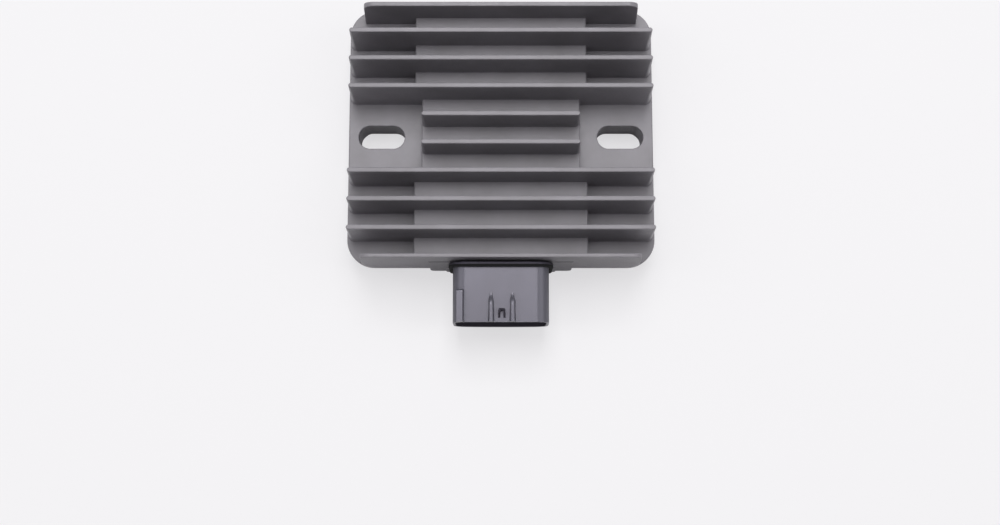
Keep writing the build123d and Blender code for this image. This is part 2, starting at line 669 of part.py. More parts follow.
for number, x in enumerate(pin_x, start=1):
    with BuildPart() as gate_resistor:
        with BuildSketch(Plane.XY.offset(board_low)):
            with Locations((x, board_y + board_length / 4)):
                Rectangle(RESISTOR_SIZE[0], RESISTOR_SIZE[1])
        extrude(amount=-RESISTOR_SIZE[2])
    gate_resistor.part.label = f"gate_resistor_{number}"
    export_step(gate_resistor.part, f"parts/gate_resistor_{number}.step")
    inner.append(gate_resistor.part)

# Potting compound: all that is left of the hollow, to just inside the rim
with BuildPart() as potting_compound:
    with BuildSketch(Plane.XY.offset(POTTING_RECESS)):
        add(hollow_plan.sketch_local)
    extrude(amount=shallow_z - POTTING_RECESS)
    with BuildSketch(Plane.XY.offset(POTTING_RECESS)):
        add(deep_plan.sketch_local)
    extrude(amount=deep_z - POTTING_RECESS)
    add(connector_shell.part, mode=Mode.SUBTRACT)
    for piece in inner:
        add(piece, mode=Mode.SUBTRACT)
potting_compound.part.label = "potting_compound"
export_step(potting_compound.part, "parts/potting_compound.step")
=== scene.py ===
"""A voltage regulator rectifier, dressed for a plain studio picture.

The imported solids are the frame. They keep their shapes and get their finishes. The
casting, the connector's shell and the gasket are modelled anew over theirs, with the
softness that the solids leave out. The sub-assemblies hold their sizes in
millimetres, and the modelling helpers turn them into the frame's metres.
"""

import logging
import math
from collections.abc import Callable, Iterable, Iterator
from dataclasses import dataclass
from enum import Enum, IntEnum

import bmesh
import bpy
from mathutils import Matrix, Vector

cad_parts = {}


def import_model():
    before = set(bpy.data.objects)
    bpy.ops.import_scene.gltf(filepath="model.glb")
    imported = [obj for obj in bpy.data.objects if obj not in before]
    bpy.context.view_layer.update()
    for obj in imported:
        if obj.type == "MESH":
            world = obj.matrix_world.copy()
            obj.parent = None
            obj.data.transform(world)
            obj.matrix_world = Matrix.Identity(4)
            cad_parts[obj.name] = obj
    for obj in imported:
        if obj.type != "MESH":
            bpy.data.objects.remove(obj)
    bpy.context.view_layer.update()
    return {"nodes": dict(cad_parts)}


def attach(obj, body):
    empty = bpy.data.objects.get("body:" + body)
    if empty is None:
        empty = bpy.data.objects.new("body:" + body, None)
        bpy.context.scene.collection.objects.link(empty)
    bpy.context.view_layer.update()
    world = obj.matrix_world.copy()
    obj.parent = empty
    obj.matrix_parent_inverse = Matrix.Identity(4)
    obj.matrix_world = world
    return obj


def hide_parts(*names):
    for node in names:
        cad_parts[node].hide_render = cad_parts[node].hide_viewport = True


LOG = logging.getLogger("regulator_rectifier")
MM = 0.001
UP, DOWN, FORWARD = Vector((0, 0, 1)), Vector((0, 0, -1)), Vector((0, -1, 0))
Triple = tuple[float, float, float]
Element = bmesh.types.BMVert | bmesh.types.BMEdge | bmesh.types.BMFace
Body = bpy.types.Object
Tree = bpy.types.NodeTree
Node = bpy.types.Node
Socket = bpy.types.NodeSocket


# Small helpers

def linear(code: str) -> tuple[float, float, float, float]:
    """Turns an sRGB hex colour into the linear values that a shader takes.

    Args:
        code: The colour as "#rrggbb".

    Returns:
        Red, green, blue and alpha, linear.
    """
    parts = [int(code[i:i + 2], 16) / 255 for i in (1, 3, 5)]
    red, green, blue = (part / 12.92 if part <= 0.04045 else ((part + 0.055) / 1.055) ** 2.4
                        for part in parts)
    return red, green, blue, 1.0


def in_metres(sizes: Iterable[float]) -> tuple[float, ...]:
    """Turns millimetres into the frame's metres."""
    return tuple(size * MM for size in sizes)


def add_node(tree: Tree, kind: str, links: dict | None = None, **settings: object) -> Node:
    """Adds one shader node, sets it and links its inputs.

    Args:
        tree: The material's or world's nodes.
        kind: The node's type, without "ShaderNode".
        links: For each input, by name or place, a value or another node's output.
        **settings: The node's own properties.

    Returns:
        The new node.
    """
    node = tree.nodes.new("ShaderNode" + kind)
    for name, value in settings.items():
        setattr(node, name, value)
    for name, value in (links or {}).items():
        if isinstance(value, Socket):
            tree.links.new(value, node.inputs[name])
        else:
            node.inputs[name].default_value = value
    return node


# Finishes

@dataclass(frozen=True)
class Grain:
    """A noise of a real size on a surface.

    One blotch is size millimetres wide, detail is how many finer steps it has, stretch
    how much finer it is along each axis, and reach where most of its values lie.
    """

    size: float
    detail: float = 2.0
    stretch: Triple = (1, 1, 1)
    reach: tuple[float, float] = (0.3, 0.7)

    def drawn(self, tree: Tree) -> Socket:
        """Draws the pattern on Object coordinates.

        Args:
            tree: The material's nodes.

        Returns:
            The pattern, from 0 to 1.
        """
        place = add_node(tree, "TexCoord").outputs["Object"]
        place = add_node(tree, "Mapping", {"Vector": place, "Scale": self.stretch}).outputs[0]
        return add_node(tree, "TexNoise", {
            "Vector": place, "Scale": 1 / (self.size * MM), "Detail": self.detail,
            "Roughness": 0.55}).outputs["Fac"]

    def over(self, tree: Tree, low: float, high: float) -> Socket:
        """Draws the pattern and spreads it over a range of values.

        Args:
            tree: The material's nodes.
            low: The least value.
            high: The greatest value.

        Returns:
            The values.
        """
        return add_node(tree, "MapRange", {
            "Value": self.drawn(tree), "From Min": self.reach[0], "From Max": self.reach[1],
            "To Min": low, "To Max": high}).outputs[0]


@dataclass(frozen=True)
class Weave(Grain):
    """The crossing threads of a cloth, size millimetres from one to the next."""

    reach: tuple[float, float] = (0.0, 1.0)

    def drawn(self, tree: Tree) -> Socket:
        """Draws the two directions of the cloth.

        Args:
            tree: The material's nodes.

        Returns:
            The pattern, from 0 to 1.
        """
        place = add_node(tree, "TexCoord").outputs["Object"]
        # A wave texture of scale 1 runs through 20 radians in a metre
        scale = math.tau / (20 * self.size * MM)
        warp, weft = (add_node(tree, "TexWave", {"Vector": place, "Scale": scale},
                               bands_direction=axis).outputs["Fac"] for axis in "XY")
        return add_node(tree, "Math", {0: warp, 1: weft}, operation="MULTIPLY").outputs[0]


@dataclass(frozen=True)
class Finish:
    """What a surface is made of, and the fine patterns that its making leaves.

    The tone pattern mixes the colour with the light one, the gloss pattern makes the
    roughness uneven, and the relief pattern stands depth millimetres proud. Without
    one of its own, the relief follows the gloss.
    """

    name: str
    slot: str
    colour: str
    roughness: float
    ior: float = 1.5
    light: str = "#ffffff"
    tint: str = "#ffffff"
    metallic: float = 0.0
    tone: Grain | None = None
    gloss: Grain | None = None
    uneven: tuple[float, float] = (-0.05, 0.05)
    relief: Grain | None = None
    depth: float = 0.01
    press: float = 0.4

    def material(self) -> bpy.types.Material:
        """Gives the finish's material, made once and then shared.

        Returns:
            The material.
        """
        made = bpy.data.materials.get(self.name)
        if made:
            return made
        made = bpy.data.materials.new(self.name)
        made.use_nodes = True
        tree = made.node_tree
        tree.nodes.clear()
        shader = add_node(tree, "BsdfPrincipled", {
            "Base Color": linear(self.colour), "Metallic": self.metallic, "IOR": self.ior,
            "Roughness": self.roughness, "Specular Tint": linear(self.tint)})
        add_node(tree, "OutputMaterial", {"Surface": shader.outputs[0]})
        self.draw(tree, shader)
        return made

    def draw(self, tree: Tree, shader: Node) -> None:
        """Lets the patterns into the colour, the roughness and the relief.

        Args:
            tree: The material's nodes.
            shader: Its shader.
        """
        if self.tone:
            tone = add_node(tree, "Mix", {
                "Factor": self.tone.over(tree, 0, 1), "A": linear(self.colour),
                "B": linear(self.light)}, data_type="RGBA")
            tree.links.new(tone.outputs["Result"], shader.inputs["Base Color"])
        if self.gloss:
            low, high = (self.roughness + change for change in self.uneven)
            tree.links.new(self.gloss.over(tree, low, high), shader.inputs["Roughness"])
        bump = add_node(tree, "Bump", {
            "Height": (self.relief or self.gloss).drawn(tree), "Distance": self.depth * MM,
            "Strength": self.press})
        tree.links.new(bump.outputs[0], shader.inputs["Normal"])


@dataclass(frozen=True)
class Moulded(Finish):
    """A moulded surface: the grain of the mould's steel, and a drift where it flowed."""

    tone: Grain = Grain(9, 2, (1, 0.35, 1))
    gloss: Grain = Grain(0.35)
    uneven: tuple[float, float] = (-0.04, 0.05)
    depth: float = 0.012


@dataclass(frozen=True)
class Rolled(Finish):
    """Stamped strip: small dull patches, and fine lines that rolling leaves along Y."""

    metallic: float = 1.0
    tone: Grain = Grain(2.2, 3)
    gloss: Grain = Grain(0.18, 2, (1, 0.04, 1))
    uneven: tuple[float, float] = (-0.07, 0.08)
    depth: float = 0.004
    press: float = 0.5


class Finishes:
    """Every finish on the part, each under what its real surface gives the eye."""

    # Die-cast aluminium under a thin grey baked coat: satin and a little cloudy, with
    # the cast skin's fine grain breaking up its sheen
    CASTING = Finish("coated_diecast_aluminium", "cast_aluminium", "#6a676c", 0.46,
                     light="#77747a", tone=Grain(14, 3), gloss=Grain(0.45), depth=0.03,
                     press=0.5)
    # Black PBT from a polished mould: a smooth dark skin with a broad, cool sheen
    SHELL = Moulded("moulded_black_pbt", "shell_plastic", "#3b3b42", 0.34, 1.57,
                    light="#43434b", tint="#f5f0ff")
    # The same plastic, matt and near black: painted shade where the socket's inside and the catch
    # lie in shade
    PAINTED_SHADE_PBT = Moulded("spark_eroded_black_pbt", "shell_plastic", "#08080b", 0.75, 1.57,
                     light="#0b0b0f", tint="#efe6ff", gloss=Grain(0.6))
    # The raised first-pin triangle, moulded in the shell's plastic: a flat light grey painted
    # highlight, so it reads against the black
    PAINTED_HIGHLIGHT_MARK = Moulded("pad_printed_grey_ink", "shell_plastic", "#a2a2a6", 0.6,
                   light="#b0b0b4", gloss=Grain(0.5))
    # Moulded EPDM rubber: black and dull, with a faint soft sheen along its back
    GASKET = Moulded("moulded_epdm_rubber", "gasket_rubber", "#0c0c10", 0.58,
                     light="#111116", tint="#efe6ff", gloss=Grain(0.6))
    # The same rubber along the front lip, near black and fully matt: painted shade that draws the
    # shadow along the gasket's front as a black line
    GASKET_PAINTED_SHADE = Moulded("matt_epdm_rubber", "gasket_rubber", "#020203", 0.95, 1.36,
                         light="#040405", gloss=Grain(0.6))
    # Tinned brass: warm silver, half bright, streaked along the strip
    TIN = Rolled("tinned_brass", "tinned_brass", "#c9c6bf", 0.3, light="#dedbd4")
    # Stamped copper: salmon brown, with lighter rubbed patches
    COPPER = Rolled("stamped_copper", "bar_copper", "#b8724a", 0.32, light="#c98a60")
    # Poured and cured epoxy: black and glossy, with low slow waves and a little dust
    RESIN = Finish("poured_black_epoxy", "potting_epoxy", "#17171a", 0.16, 1.55,
                   gloss=Grain(0.8, 3), uneven=(-0.05, 0.1), relief=Grain(16, 1), depth=0.5,
                   press=0.6)
    # Fired alumina: off-white and matt, with a fine sintered speckle
    ALUMINA = Finish("fired_alumina", "alumina", "#e2ded3", 0.62, 1.76, light="#efece4",
                     tone=Grain(0.3, 3), relief=Grain(0.3, 3))
    # Silicone adhesive: pale grey and soft-looking
    ADHESIVE = Moulded("silicone_adhesive", "adhesive", "#b4b4b2", 0.5, 1.41,
                       light="#c2c2bf", gloss=Grain(0.8))
    # Glass cloth under green solder mask: its weave shows through faintly, drawn at
    # 3.14 mm because the real cloth's 0.5 mm is too fine to show
    LAMINATE = Finish("masked_glass_laminate", "board_laminate", "#215a37", 0.35,
                      light="#2c6e45", tone=Weave(3.14), relief=Weave(3.14), depth=0.02)
    # Moulded epoxy packages: charcoal and even
    PACKAGE = Moulded("moulded_epoxy_package", "package_plastic", "#1c1c1e", 0.55, 1.57,
                      light="#252527", gloss=Grain(0.4))


NODE_FINISHES: dict[str, Finish] = {
    "heatsink_housing": Finishes.CASTING,
    "connector_shell": Finishes.SHELL,
    "connector_gasket": Finishes.GASKET,
    "terminal_": Finishes.TIN,
    "gate_pin_": Finishes.TIN,
    "phase_bar_": Finishes.COPPER,
    "negative_busbar": Finishes.COPPER,
    "positive_busbar": Finishes.COPPER,
    "power_substrate": Finishes.ALUMINA,
    "thermal_adhesive": Finishes.ADHESIVE,
    "control_board": Finishes.LAMINATE,
    "potting_compound": Finishes.RESIN,
}


def dress_nodes(nodes: dict[str, Body]) -> None:
    """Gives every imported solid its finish: a package's, unless its name says another.

    Args:
        nodes: The frame's solids by name.
    """
    for name, node in nodes.items():
        finish = next((f for start, f in NODE_FINISHES.items() if name.startswith(start)),
                      Finishes.PACKAGE)
        node.data.materials.clear()
        node.data.materials.append(finish.material())
        LOG.info("dressed %s as %s", name, finish.name)


# Modelling helpers, all in millimetres

# How closely a direction has to follow an axis
MOSTLY = 0.9
# How near a place has to lie to a level
NEAR = 0.1
# A step too small to see, so that no two faces coincide
HAIR = 0.01
# How close two corners are welded into one
WELD = 0.002
# Edges that turn less than this, in degrees, are shaded smooth
SMOOTH_ANGLE = 35.0
# The opening from the hollow through seat, gasket and shell: half its width, its
# lower and its upper edge
WINDOW = (13.35, 5.0, 14.5)


class Kind(Enum):
    """What a selection is made of, and bmesh's name for it."""

    VERT = "verts"
    EDGE = "edges"
    FACE = "faces"


class Axis(IntEnum):
    """An axis, and its place in a vector."""

    X = 0
    Y = 1
    Z = 2


class Join(Enum):
    """How a second body changes the first."""

    UNITE = "UNION"
    CUT = "DIFFERENCE"
    KEEP = "INTERSECT"


def deselect_all() -> None:
    """Leaves object mode's selection empty."""
    for thing in bpy.context.selected_objects:
        thing.select_set(False)


def open_new(name: str) -> Body:
    """Names a new primitive, settles its place in its mesh and opens it.

    Args:
        name: The new object's name.

    Returns:
        The object, in edit mode.
    """
    made = bpy.context.object
    made.name = made.data.name = name
    bpy.ops.object.transform_apply(location=True, rotation=True, scale=True)
    bpy.ops.object.mode_set(mode="EDIT")
    return made


def open_again(piece: Body) -> None:
    """Takes a body back into edit mode, alone and all selected.

    Args:
        piece: The body.
    """
    deselect_all()
    piece.select_set(True)
    bpy.context.view_layer.objects.active = piece
    bpy.ops.object.mode_set(mode="EDIT")
    bpy.ops.mesh.select_all(action="SELECT")


def close_up(piece: Body) -> Body:
    """Turns all faces outwards and leaves edit mode.

    Args:
        piece: The body in edit mode.

    Returns:
        The same body.
    """
    bpy.ops.mesh.select_all(action="SELECT")
    bpy.ops.mesh.normals_make_consistent(inside=False)
    bpy.ops.object.mode_set(mode="OBJECT")
    return piece


def start_block(name: str, low: Triple, high: Triple) -> Body:
    """Adds a block between two corners and opens it in edit mode.

    Args:
        name: The new object's name.
        low: Its lowest corner.
        high: Its highest corner.

    Returns:
        The block, with its place in its mesh.
    """
    deselect_all()
    low, high = in_metres(low), in_metres(high)
    middle = tuple((a + b) / 2 for a, b in zip(low, high))
    size = tuple(b - a for a, b in zip(low, high))
    bpy.ops.mesh.primitive_cube_add(size=1.0, location=middle, scale=size)
    return open_new(name)


def rounded_block(name: str, low: Triple, high: Triple, radius: float, axis: Axis = Axis.Z,
                  segments: int = 8) -> Body:
    """Adds a block whose four edges along one axis are rounded; it stays in edit mode.

    Args:
        name: The new object's name.
        low: Its lowest corner.
        high: Its highest corner.
        radius: Radius of the four edges.
        axis: The axis that they run along.
        segments: Faces round each of them.

    Returns:
        The block.
    """
    block = start_block(name, low, high)
    pick(Kind.EDGE, lambda e: runs_along(e, axis))
    bevel(radius, segments)
    return block


def start_bar(name: str, middle: Triple, apart: float, half: float, corners: int) -> Body:
    """Adds a level round-ended outline: a disc, parted along X; it stays in edit mode.

    Args:
        name: The new object's name.
        middle: Its middle.
        apart: How far each end's own middle lies from it.
        half: Half its width, the radius of its ends.
        corners: Corners round both ends together.

    Returns:
        The outline, all selected.
    """
    deselect_all()
    bpy.ops.mesh.primitive_circle_add(
        vertices=corners, radius=half * MM, fill_type="NGON", location=in_metres(middle),
        rotation=(0, 0, math.pi / corners))
    bar = open_new(name)
    for way in (-1, 1):
        pick(Kind.VERT, lambda v: (centre(v).x - middle[0]) * way > 0)
        move(way * apart, 0, 0)
    pick(Kind.FACE, lambda f: True)
    return bar


def window_block(front: float, back: float, clearance: float = 0.0) -> Body:
    """Adds a block that fills the window.

    Args:
        front: Where it starts, along Y.
        back: Where it ends.
        clearance: How much lower its upper face lies than the window's.

    Returns:
        The block, in edit mode.
    """
    half, low, high = WINDOW
    return start_block("window", (-half, front, low), (half, back, high - clearance))


def pick(kind: Kind, wanted: Callable[[Element], bool]) -> None:
    """Selects what passes a test on its place or direction, in edit mode.

    Args:
        kind: Vertices, edges or faces.
        wanted: The test.
    """
    bpy.ops.mesh.select_mode(type=kind.name)
    bpy.ops.mesh.select_all(action="DESELECT")
    mesh = bpy.context.object.data
    for item in getattr(bmesh.from_edit_mesh(mesh), kind.value):
        if wanted(item):
            item.select_set(True)
    bmesh.update_edit_mesh(mesh)


def centre(item: Element) -> Vector:
    """Gives the middle of a vertex, an edge or a face."""
    corners = getattr(item, "verts", (item,))
    return sum((corner.co for corner in corners), Vector()) / len(corners) / MM


def runs_along(edge: bmesh.types.BMEdge, axis: Axis) -> bool:
    """Tells whether an edge runs mostly along an axis."""
    way = edge.verts[1].co - edge.verts[0].co
    return abs(way[axis]) > MOSTLY * way.length


def looks(face: bmesh.types.BMFace, way: Vector) -> bool:
    """Tells whether a face looks mostly one way."""
    return face.normal.dot(way) > MOSTLY


def near(one: float, other: float) -> bool:
    """Tells whether two places lie at the same level."""
    return abs(one - other) < NEAR


def slope(draft: float) -> float:
    """Gives how far a face with a draft in degrees leans for each unit of height."""
    return math.tan(math.radians(draft))


def move(x: float, y: float, z: float) -> None:
    """Moves the selection."""
    bpy.ops.transform.translate(value=in_metres((x, y, z)))


def extrude(x: float, y: float, z: float) -> None:
    """Extrudes the selected faces and moves them."""
    bpy.ops.mesh.extrude_region_move(
        TRANSFORM_OT_translate={"value": in_metres((x, y, z))})


def inset(thickness: float, depth: float) -> None:
    """Insets the selected face and moves it out of its plane."""
    bpy.ops.mesh.inset(thickness=thickness * MM, depth=depth * MM)


def bevel(width: float, segments: int, clamp: bool = False) -> None:
    """Rounds the selected edges, where clamped only as far as their faces have room."""
    bpy.ops.mesh.bevel(offset=width * MM, segments=segments, affect="EDGES",
                       clamp_overlap=clamp)


def round_up(radius: float, steps: int, turn: float = 90.0, hollow: bool = False) -> None:
    """Carries the selected face up a round, inset by inset.

    Args:
        radius: The round's radius.
        steps: How many insets it takes.
        turn: How many degrees it turns through.
        hollow: Whether it is a hollow root, not a rounded rim.
    """
    for step in range(steps):
        one, two = (math.radians(turn) * k / steps for k in (step, step + 1))
        level, rise = math.cos(one) - math.cos(two), math.sin(two) - math.sin(one)
        if hollow:
            level, rise = rise, level
        inset(radius * level, radius * rise)


def part_across(line: float) -> None:
    """Draws edges round the whole open body at one place along Y."""
    bpy.ops.mesh.select_all(action="SELECT")
    bpy.ops.mesh.bisect(plane_co=(0, line * MM, 0), plane_no=(0, 1, 0))


def combine(piece: Body, other: Body, how: Join) -> None:
    """Changes a body by a second one, and removes the second.

    Args:
        piece: The body that stays.
        other: The second body.
        how: Whether it is united with the first, cut out of it, or keeps what both hold.
    """
    boolean = piece.modifiers.new("join", "BOOLEAN")
    boolean.operation = how.value
    boolean.object = other
    boolean.solver = "EXACT"
    deselect_all()
    bpy.context.view_layer.objects.active = piece
    bpy.ops.object.modifier_apply(modifier=boolean.name)
    bpy.data.objects.remove(other)


def open_copy(body: Body) -> Body:
    """Copies a body with its own mesh and opens the copy in edit mode, all selected.

    Args:
        body: The body, modelled here or packed.

    Returns:
        The copy, with its loose triangles welded and without a finish.
    """
    copy = bpy.data.objects.new(body.name + "_copy", body.data.copy())
    bpy.context.scene.collection.objects.link(copy)
    copy.data.materials.clear()
    open_again(copy)
    bpy.ops.mesh.remove_doubles(threshold=WELD * MM)
    return copy


def finish_faces(piece: Body) -> None:
    """Welds what doubles, smooths gentle edges and evens the shading of flat faces.

    Args:
        piece: The finished body.
    """
    open_again(piece)
    bpy.ops.mesh.remove_doubles(threshold=WELD * MM)
    bpy.ops.object.mode_set(mode="OBJECT")
    bpy.ops.object.shade_smooth_by_angle(angle=math.radians(SMOOTH_ANGLE))
    even = piece.modifiers.new("even", "WEIGHTED_NORMAL")
    even.keep_sharp = True
    bpy.ops.object.modifier_apply(modifier=even.name)


# The heat sink

@dataclass
class HeatSink:
    """The die casting: ledge, lower walls, fins, raised floors, seat and hollow.

    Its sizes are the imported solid's. What it adds to the solid is the casting's
    softness: rounded fin ends, tips, roots and rims, and leaning walls.
    """

    width: float = 102.0
    front: float = -43.85
    back: float = 44.15
    corner: float = 9.0
    overhang: float = 1.7
    front_overhang: float = 0.3
    ledge_band: float = 3.0
    ledge_slope: float = 2.3
    ledge_edge: float = 0.4
    floor: float = 12.5
    lean: float = 0.55
    foot_round: float = 3.0

    # The fins: the tips' heights and thicknesses, and half their lengths there
    tip_height: float = 31.0
    end_height: float = 29.0
    fin_tip: float = 1.5
    plate_tip: float = 1.25
    long_reach: float = 49.5
    short_reach: float = 25.65
    end_reach: float = 45.2
    end_corner: float = 3.0
    # How far an end fin's edges are rounded, as a share of its tip
    end_edge: float = 0.2
    draft: float = 4.0
    end_draft: float = 2.6
    tip_round: float = 0.33
    root_round: float = 0.4
    long_fins: tuple[float, ...] = (-33.22, -23.92, -14.61, 13.30, 22.61, 31.91)
    short_fins: tuple[float, ...] = (-5.31, 4.00)
    back_fin: float = 41.27
    plate: float = -42.07
    # How deep a body's foot sinks into what it stands on
    sink: float = 0.3

    # The raised floors: half their widths, outer and inner
    pad_halves: tuple[float, float] = (28.8, 26.4)
    pad_rise: float = 5.5
    pad_draft: float = 2.0
    pad_edge: float = 0.5

    slot_x: float = 40.0
    slot_length: float = 15.4
    slot_width: float = 7.7
    slot_wall: float = 3.4
    slot_edge: float = 0.35

    # The hollow's two depths: half the width, front, back, top and the corners' radius
    hollow: tuple[float, float, float, float, float] = (45.1, -39.35, 38.25, 9.0, 5.0)
    deep: tuple[float, float, float, float, float] = (23.0, -39.35, 35.25, 14.5, 3.0)
    window_edge: float = 0.3

    # The seat's two steps: half the width, lower and upper edge, and the lean
    seat_foot: tuple[float, float, float, float] = (18.4, 1.6, 12.0, 0.0)
    seat: tuple[float, float, float, float] = (23.6, 5.0, 21.0, 0.85)
    seat_front: float = -44.25
    seat_corner: float = 1.5
    seat_edge: float = 0.25
    groove: float = 0.7
    groove_back: float = -42.7

    def build(self) -> Body:
        """Models the casting.

        Returns:
            The piece that stands for the housing's solid.
        """
        casting = self.ledge_and_walls()
        for body in self.standing_bodies():
            combine(casting, body, Join.UNITE)
        for core in self.cores():
            combine(casting, core, Join.CUT)
        self.soften_slots(casting)
        finish_faces(casting)
        return casting

    def standing_bodies(self) -> Iterator[Body]:
        """Models, one by one, what stands on the ledge and on the front wall.

        Yields:
            Each body.
        """
        stops = (self.plate, self.long_fins[2], self.long_fins[3], self.back_fin)
        outer, inner = self.pad_halves
        for low, high, half in zip(stops, stops[1:], (outer, inner, outer)):
            yield self.raised_floor(low, high, half)
        for reach, places in ((self.long_reach, self.long_fins),
                              (self.short_reach, self.short_fins)):
            pattern = self.fin(reach)
            for place in places:
                copy = open_copy(pattern)
                move(0, place, 0)
                yield close_up(copy)
            bpy.data.objects.remove(pattern)
        yield self.end_fin(self.back_fin, self.fin_tip)
        yield self.front_plate()
        yield self.plate_foot()
        yield self.seat_step(*self.seat_foot)
        yield self.seat_step(*self.seat)

    def cores(self) -> Iterator[Body]:
        """Models, one by one, what the casting is hollowed with.

        Yields:
            The groove over the seat, the hollow and the two slots.
        """
        half, _, top, _ = self.seat
        yield close_up(start_block("groove", (-half, self.seat_front - 1, top),
                                   (half, self.groove_back, top + self.groove)))
        yield self.hollow_core()
        for side in (-1, 1):
            near_end, far_end = (side * (self.slot_x + k * self.slot_length / 2) for k in (-1, 1))
            yield self.upright_bar("slot_core", (near_end, far_end), self.slot_width / 2,
                                   (-1.0, 20.0))

    def ledge_and_walls(self) -> Body:
        """Models the ledge and, inset by inset from its underside, the lower walls.

        Returns:
            The body that the others are joined to.
        """
        half, top = self.width / 2, self.floor
        under = top - self.ledge_band
        block = rounded_block("heat_sink", (-half, self.front, under), (half, self.back, top),
                              self.corner, segments=12)
        pick(Kind.FACE, lambda f: looks(f, DOWN))
        inset(self.overhang, self.ledge_slope)
        pick(Kind.VERT, lambda v: centre(v).z < under - 1 and v.co.y < 0)
        move(0, self.front_overhang - self.overhang, 0)
        pick(Kind.FACE, lambda f: looks(f, DOWN) and len(f.verts) > 4)
        inset(self.lean, under - self.ledge_slope - self.foot_round)
        round_up(self.foot_round, 5)
        pick(Kind.EDGE, lambda e: min(centre(v).z for v in e.verts) > top - NEAR)
        bevel(self.ledge_edge, 3)
        return close_up(block)

    def fin(self, reach: float) -> Body:
        """Models one fin as a stack of insets: root, drafted flank and rounded tip.

        Args:
            reach: Half its length at the tip.

        Returns:
            The fin, its foot sunk a little into the floor.
        """
        rise = self.tip_height - self.floor
        lean, end_lean = slope(self.draft), slope(self.end_draft)
        half = self.fin_tip / 2 + rise * lean
        piece = start_bar("fin", (0, 0, self.floor - self.sink), reach + rise * end_lean - half,
                          half + self.root_round, 24)
        extrude(0, 0, self.sink + HAIR)
        round_up(self.root_round, 4, 90 - self.draft, hollow=True)
        flank = rise - self.root_round - self.tip_round
        inset(flank * lean, flank)
        round_up(self.tip_round, 4)
        close_up(piece)
        for vertex in piece.data.vertices:
            above = max(vertex.co.z - self.floor * MM, 0)
            vertex.co.x += math.copysign((lean - end_lean) * above, vertex.co.x)
        return piece

    def end_fin(self, place: float, tip: float) -> Body:
        """Models the back fin or the front plate, with large rounded upper corners.

        Args:
            place: Its middle, along Y.
            tip: Its thickness at the tip.

        Returns:
            The fin, its foot sunk a little into the floor.
        """
        rise = self.end_height - self.floor
        thick = tip / 2 + rise * slope(self.draft)
        reach = self.end_reach + rise * slope(self.end_draft)
        low = self.floor - self.sink / 2
        piece = start_block("end_fin", (-reach, place - thick, low),
                            (reach, place + thick, self.end_height))
        pick(Kind.FACE, lambda f: looks(f, UP))
        bpy.ops.transform.resize(value=(self.end_reach / reach, tip / 2 / thick, 1))
        pick(Kind.EDGE, lambda e: runs_along(e, Axis.Y) and centre(e).z > self.end_height - 1)
        bevel(self.end_corner, 8)
        pick(Kind.EDGE, lambda e: not runs_along(e, Axis.Y) and centre(e).z > low + 1)
        bevel(self.end_edge * tip, 3, clamp=True)
        return close_up(piece)

    def front_plate(self) -> Body:
        """Models the front plate, trimmed by the ledge's rounded outline.

        Returns:
            The plate.
        """
        plate = self.end_fin(self.plate, self.plate_tip)
        outline = rounded_block("outline", (-self.width / 2, self.front, 0),
                                (self.width / 2, self.back, self.tip_height), self.corner,
                                segments=12)
        combine(plate, close_up(outline), Join.KEEP)
        return plate

    def plate_foot(self) -> Body:
        """Models the stretch where the plate's face runs down into the ledge's.

        Returns:
            The stretch, a hair proud of the plate so that no two faces coincide.
        """
        thick = self.plate_tip / 2 + (self.end_height - self.floor) * slope(self.draft)
        reach = self.width / 2 - self.corner
        return close_up(start_block(
            "plate_foot", (-reach, self.plate - thick - HAIR, self.floor - 1.5),
            (reach, self.plate, self.floor + 0.05)))

    def raised_floor(self, low: float, high: float, half: float) -> Body:
        """Models one stretch of raised floor, its ends drafted and softened.

        Args:
            low: Where it starts, along Y.
            high: Where it ends.
            half: Half its width.

        Returns:
            The stretch, its foot sunk a little into the floor.
        """
        piece = start_block("raised_floor", (-half, low, self.floor - self.sink),
                            (half, high, self.floor + self.pad_rise))
        pick(Kind.FACE, lambda f: looks(f, UP))
        bpy.ops.transform.resize(value=(1 - self.pad_rise * slope(self.pad_draft) / half, 1, 1))
        pick(Kind.EDGE, lambda e: runs_along(e, Axis.Y) and centre(e).z > self.floor)
        bevel(self.pad_edge, 3)
        return close_up(piece)

    def seat_step(self, half: float, low: float, high: float, lean: float) -> Body:
        """Models one step of the connector's seat, proud of the front wall.

        Args:
            half: Half its width.
            low: Its lower edge.
            high: Its upper edge.
            lean: How far the upper edge leans back, after the plate's draft.

        Returns:
            The step.
        """
        piece = rounded_block("seat", (-half, self.seat_front, low),
                              (half, self.plate + self.sink, high), self.seat_corner, Axis.Y, 5)
        for vertex in bmesh.from_edit_mesh(piece.data).verts:
            if vertex.co.y < self.plate * MM:
                vertex.co.y += lean * (vertex.co.z / MM - low) / (high - low) * MM
        bmesh.update_edit_mesh(piece.data)
        pick(Kind.FACE, lambda f: looks(f, FORWARD))
        bevel(self.seat_edge, 2)
        return close_up(piece)

    def upright_bar(self, name: str, ends: tuple[float, float], half: float,
                    heights: tuple[float, float]) -> Body:
        """Models an upright round-ended bar, for a slot or its boss.

        Args:
            name: The new object's name.
            ends: Where its two ends lie, along X.
            half: Half its width, the radius of its ends.
            heights: Where it starts and ends, along Z.

        Returns:
            The bar.
        """
        bar = start_bar(name, (sum(ends) / 2, 0, heights[0]), abs(ends[1] - ends[0]) / 2 - half,
                        half, 48)
        extrude(0, 0, heights[1] - heights[0])
        return close_up(bar)

